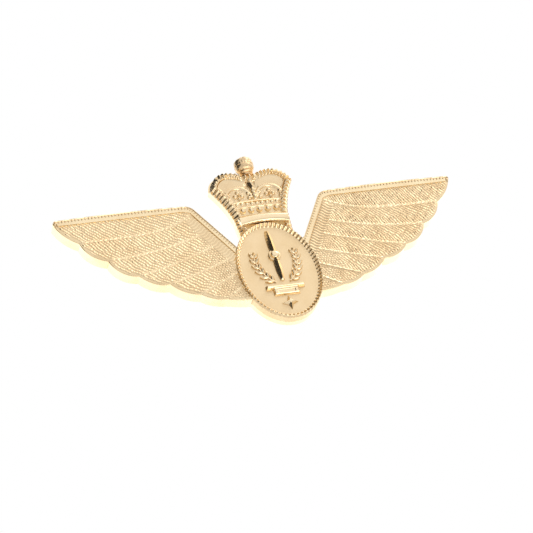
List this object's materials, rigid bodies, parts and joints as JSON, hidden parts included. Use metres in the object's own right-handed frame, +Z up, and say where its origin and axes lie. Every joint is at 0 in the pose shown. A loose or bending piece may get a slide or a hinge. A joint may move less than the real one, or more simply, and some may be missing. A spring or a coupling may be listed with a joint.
{
  "type": "pilot wings pin",
  "caption": "Spread pilot wings badge in gold-tone metal with a crowned oval medallion and two clutch-back posts.",
  "frame": {"origin": "centre of the oval medallion, on the flat back face of the plate", "axes": "upright as worn: +Z up, the front looks along -Y, the posts stand out along +Y, +X to the right seen from the front"},
  "size_m": [0.076, 0.0116, 0.0368],
  "materials": {
    "struck_gold": "fine struck texture, gold plated, satin",
    "satin_gold": "fine satin, gold plated",
    "bright_gold": "polished, gold plated",
    "post_brass": "turned, bright",
    "clutch_brass": "pressed sheet, bright",
    "spring_steel": "drawn wire"
  },
  "bodies": {
    "badge": {"wing_plate": "struck_gold", "medallion_plate": "satin_gold", "medallion_bezel": "bright_gold", "emblem_propeller": "bright_gold", "emblem_laurel_left": "bright_gold", "emblem_laurel_right": "bright_gold", "emblem_pedestal": "bright_gold", "emblem_star": "bright_gold", "crown_body": "struck_gold", "crown_circlet": "bright_gold", "crown_gems": "bright_gold", "crown_pearls": "bright_gold", "crown_finial": "bright_gold", "left_post": "post_brass", "right_post": "post_brass"},
    "left_clutch": {"left_clutch_disc": "clutch_brass"},
    "left_clutch_head": {"left_clutch_case": "clutch_brass", "left_clutch_spring": "spring_steel"},
    "left_ear_a": {"left_clutch_ear_a": "clutch_brass"},
    "left_ear_b": {"left_clutch_ear_b": "clutch_brass"},
    "right_clutch": {"right_clutch_disc": "clutch_brass"},
    "right_clutch_head": {"right_clutch_case": "clutch_brass", "right_clutch_spring": "spring_steel"},
    "right_ear_a": {"right_clutch_ear_a": "clutch_brass"},
    "right_ear_b": {"right_clutch_ear_b": "clutch_brass"}
  },
  "joints": [
    {"name": "left_clutch_slide", "type": "slide", "parent": "badge", "child": "left_clutch", "axis": [0, 1, 0], "range_m": [0, 0.015]},
    {"name": "left_clutch_spin", "type": "hinge", "parent": "left_clutch", "child": "left_clutch_head", "pos_m": [-0.015, 0.0027, 0.0102], "axis": [0, 1, 0], "continuous": true},
    {"name": "left_ear_a_squeeze", "type": "hinge", "parent": "left_clutch_head", "child": "left_ear_a", "pos_m": [-0.0187, 0.00395, 0.0102], "axis": [0, 0, -1], "range_deg": [0, 12], "stiffness_Nm_per_rad": 0.00001, "springref_deg": -11.46},
    {"name": "left_ear_b_squeeze", "type": "hinge", "parent": "left_clutch_head", "child": "left_ear_b", "pos_m": [-0.0113, 0.00395, 0.0102], "axis": [0, 0, 1], "range_deg": [0, 12], "stiffness_Nm_per_rad": 0.00001, "springref_deg": -11.46},
    {"name": "right_clutch_slide", "type": "slide", "parent": "badge", "child": "right_clutch", "axis": [0, 1, 0], "range_m": [0, 0.015]},
    {"name": "right_clutch_spin", "type": "hinge", "parent": "right_clutch", "child": "right_clutch_head", "pos_m": [0.015, 0.0027, 0.0102], "axis": [0, 1, 0], "continuous": true},
    {"name": "right_ear_a_squeeze", "type": "hinge", "parent": "right_clutch_head", "child": "right_ear_a", "pos_m": [0.0113, 0.00395, 0.0102], "axis": [0, 0, -1], "range_deg": [0, 12], "stiffness_Nm_per_rad": 0.00001, "springref_deg": -11.46},
    {"name": "right_ear_b_squeeze", "type": "hinge", "parent": "right_clutch_head", "child": "right_ear_b", "pos_m": [0.0187, 0.00395, 0.0102], "axis": [0, 0, 1], "range_deg": [0, 12], "stiffness_Nm_per_rad": 0.00001, "springref_deg": -11.46}
  ],
  "couplings": [
    {"joint": "left_ear_b_squeeze", "follows": "left_ear_a_squeeze", "ratio": 1},
    {"joint": "right_ear_b_squeeze", "follows": "right_ear_a_squeeze", "ratio": 1}
  ]
}
